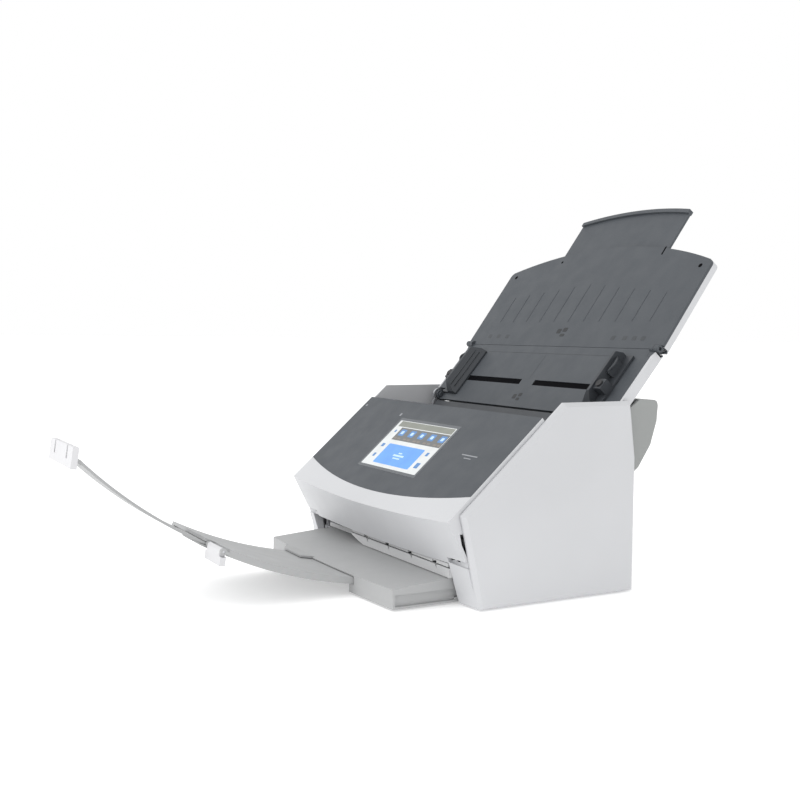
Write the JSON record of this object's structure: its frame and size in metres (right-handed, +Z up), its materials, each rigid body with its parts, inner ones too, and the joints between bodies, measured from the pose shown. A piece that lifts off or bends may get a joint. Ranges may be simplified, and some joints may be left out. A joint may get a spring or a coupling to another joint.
{
  "type": "sheet fed document scanner",
  "caption": "Desktop sheet fed document scanner, opened for use: wedge-shaped white case, slate touch panel, folding feed chute and document cover, and a telescoping curved output tray.",
  "frame": {"origin": "On the desk under the middle of the box round the whole opened object.", "axes": "+X to the right seen by the user in front, +Y to the rear and along the longest extent, +Z up."},
  "size_m": [0.292, 0.5392, 0.3212],
  "materials": {
    "white_shell": "fine spark-eroded texture",
    "grey_plastic": "fine spark-eroded texture",
    "light_grey": "fine spark-eroded texture",
    "slate_panel": "fine leather-like grain, low sheen",
    "dark_guide": "smooth satin where paper slides",
    "black_plastic": "fine texture",
    "screen_face": "glossy display with soft-coloured tiles",
    "rubber_black": "dull",
    "roller_rubber": "fine ground rubber",
    "belt_rubber": "ribbed, dull",
    "screw_steel": "nickel plated",
    "sheet_steel": "galvanised sheet",
    "shaft_steel": "ground",
    "motor_can": "zinc plated",
    "brass_gear": "machined",
    "white_bush": "smooth acetal",
    "circuit_board": "solder mask",
    "scan_glass": "clear polished"
  },
  "bodies": {
    "case": {"base_housing": "white_shell", "left_side_cover": "white_shell", "right_side_cover": "white_shell", "rear_cover": "white_shell", "rear_hood": "grey_plastic", "left_corner_block": "white_shell", "right_corner_block": "white_shell", "exit_lip": "light_grey", "rubber_feet": "rubber_black", "floor_screws": "screw_steel", "left_frame": "sheet_steel", "right_frame": "sheet_steel", "lower_paper_guide": "dark_guide", "rear_scan_unit": "black_plastic", "rear_scan_glass": "scan_glass", "roller_bushes": "white_bush", "drive_motor": "motor_can", "drive_belt": "belt_rubber", "main_board": "circuit_board", "dc_jack": "black_plastic", "usb_socket": "screw_steel"},
    "motor_rotor": {"motor_pinion": "brass_gear"},
    "reducer": {"reduction_gear": "white_bush"},
    "pick_roller": {"pick_shaft": "shaft_steel", "pick_rollers": "roller_rubber"},
    "feed_roller": {"feed_shaft": "shaft_steel", "feed_rollers": "roller_rubber"},
    "eject_roller": {"eject_shaft": "shaft_steel", "eject_rollers": "roller_rubber"},
    "front_cover": {"front_cover_shell": "white_shell", "cover_pivot_pins": "shaft_steel", "control_panel": "slate_panel", "touch_screen": "screen_face", "display_board": "circuit_board", "exit_comb": "light_grey", "hopper_floor": "dark_guide", "upper_paper_guide": "dark_guide", "front_scan_unit": "black_plastic", "front_scan_glass": "scan_glass"},
    "brake": {"brake_roller": "roller_rubber"},
    "feed_idler": {"feed_idlers": "white_bush"},
    "eject_idler": {"eject_idlers": "white_bush"},
    "chute": {"chute_panel": "slate_panel", "chute_shell": "white_shell", "chute_pins": "shaft_steel", "fold_pins": "shaft_steel"},
    "pinion": {"guide_pinion": "white_bush"},
    "guide_left": {"left_guide": "dark_guide"},
    "guide_right": {"right_guide": "dark_guide"},
    "document_cover": {"document_panel": "slate_panel", "document_shell": "white_shell"},
    "extension": {"cover_extension": "slate_panel"},
    "tray": {"output_tray": "light_grey"},
    "tray_slide_1": {"tray_extension": "light_grey", "middle_pin": "shaft_steel"},
    "tray_slide_2": {"tray_tongue": "light_grey", "end_pin": "shaft_steel"},
    "stopper_middle": {"middle_stopper": "white_shell"},
    "stopper_end": {"end_stopper": "white_shell"}
  },
  "joints": [
    {"name": "chute_hinge", "type": "hinge", "parent": "case", "child": "chute", "pos_m": [0, 0.12555, 0.143], "axis": [1, 0, 0], "range_deg": [0, 128.5]},
    {"name": "cover_fold", "type": "hinge", "parent": "chute", "child": "document_cover", "pos_m": [0, 0.16987, 0.19299], "axis": [1, 0, 0], "range_deg": [0, 39.55]},
    {"name": "extension_slide", "type": "slide", "parent": "document_cover", "child": "extension", "axis": [0, -0.5934, -0.8049], "range_m": [0, 0.0405]},
    {"name": "right_guide_slide", "type": "slide", "parent": "chute", "child": "guide_right", "axis": [1, 0, 0], "range_m": [-0.082, 0]},
    {"name": "left_guide_slide", "type": "slide", "parent": "chute", "child": "guide_left", "axis": [1, 0, 0], "range_m": [0, 0.082]},
    {"name": "guide_pinion_turn", "type": "hinge", "parent": "chute", "child": "pinion", "pos_m": [0, 0.14696, 0.15624], "axis": [0, -0.7581, 0.6521], "range_deg": [0, 523]},
    {"name": "front_cover_hinge", "type": "hinge", "parent": "case", "child": "front_cover", "pos_m": [0, -0.00515, 0.041], "axis": [-1, 0, 0], "range_deg": [-50, 0]},
    {"name": "tray_slide", "type": "slide", "parent": "case", "child": "tray", "axis": [0, 1, 0], "range_m": [0, 0.042]},
    {"name": "extension_1_slide", "type": "hinge", "parent": "tray", "child": "tray_slide_1", "pos_m": [0, -0.00935, 0.3605], "axis": [1, 0, 0], "range_deg": [0, 16.5]},
    {"name": "extension_2_slide", "type": "hinge", "parent": "tray_slide_1", "child": "tray_slide_2", "pos_m": [0, -0.00935, 0.3605], "axis": [1, 0, 0], "range_deg": [0, 15]},
    {"name": "middle_stopper_flip", "type": "hinge", "parent": "tray_slide_1", "child": "stopper_middle", "pos_m": [0, -0.16474, 0.04332], "axis": [-1, 0, 0], "range_deg": [0, 180]},
    {"name": "end_stopper_flip", "type": "hinge", "parent": "tray_slide_2", "child": "stopper_end", "pos_m": [0, -0.26614, 0.11639], "axis": [-1, 0, 0], "range_deg": [0, 180]},
    {"name": "reducer_turn", "type": "hinge", "parent": "case", "child": "reducer", "pos_m": [0, 0.09786, 0.05984], "axis": [1, 0, 0], "continuous": true},
    {"name": "motor_turn", "type": "hinge", "parent": "case", "child": "motor_rotor", "pos_m": [0, 0.11685, 0.045], "axis": [1, 0, 0], "continuous": true},
    {"name": "pick_roller_turn", "type": "hinge", "parent": "case", "child": "pick_roller", "pos_m": [0, 0.10118, 0.09933], "axis": [1, 0, 0], "continuous": true},
    {"name": "feed_roller_turn", "type": "hinge", "parent": "case", "child": "feed_roller", "pos_m": [0, 0.08292, 0.0781], "axis": [1, 0, 0], "continuous": true},
    {"name": "eject_roller_turn", "type": "hinge", "parent": "case", "child": "eject_roller", "pos_m": [0, 0.05162, 0.04171], "axis": [1, 0, 0], "continuous": true},
    {"name": "brake_roller_turn", "type": "hinge", "parent": "front_cover", "child": "brake", "pos_m": [0, 0.0873, 0.11126], "axis": [1, 0, 0], "continuous": true},
    {"name": "feed_idler_turn", "type": "hinge", "parent": "front_cover", "child": "feed_idler", "pos_m": [0, 0.07132, 0.08808], "axis": [1, 0, 0], "continuous": true},
    {"name": "eject_idler_turn", "type": "hinge", "parent": "front_cover", "child": "eject_idler", "pos_m": [0, 0.04002, 0.05169], "axis": [1, 0, 0], "continuous": true}
  ],
  "couplings": [
    {"joint": "cover_fold", "follows": "chute_hinge", "ratio": 0.30778},
    {"joint": "left_guide_slide", "follows": "right_guide_slide", "ratio": -1},
    {"joint": "guide_pinion_turn", "follows": "right_guide_slide", "rad_per_m": -111.11},
    {"joint": "motor_turn", "follows": "reducer_turn", "ratio": -3},
    {"joint": "pick_roller_turn", "follows": "reducer_turn", "ratio": 1},
    {"joint": "feed_roller_turn", "follows": "reducer_turn", "ratio": 1},
    {"joint": "eject_roller_turn", "follows": "reducer_turn", "ratio": 1}
  ]
}
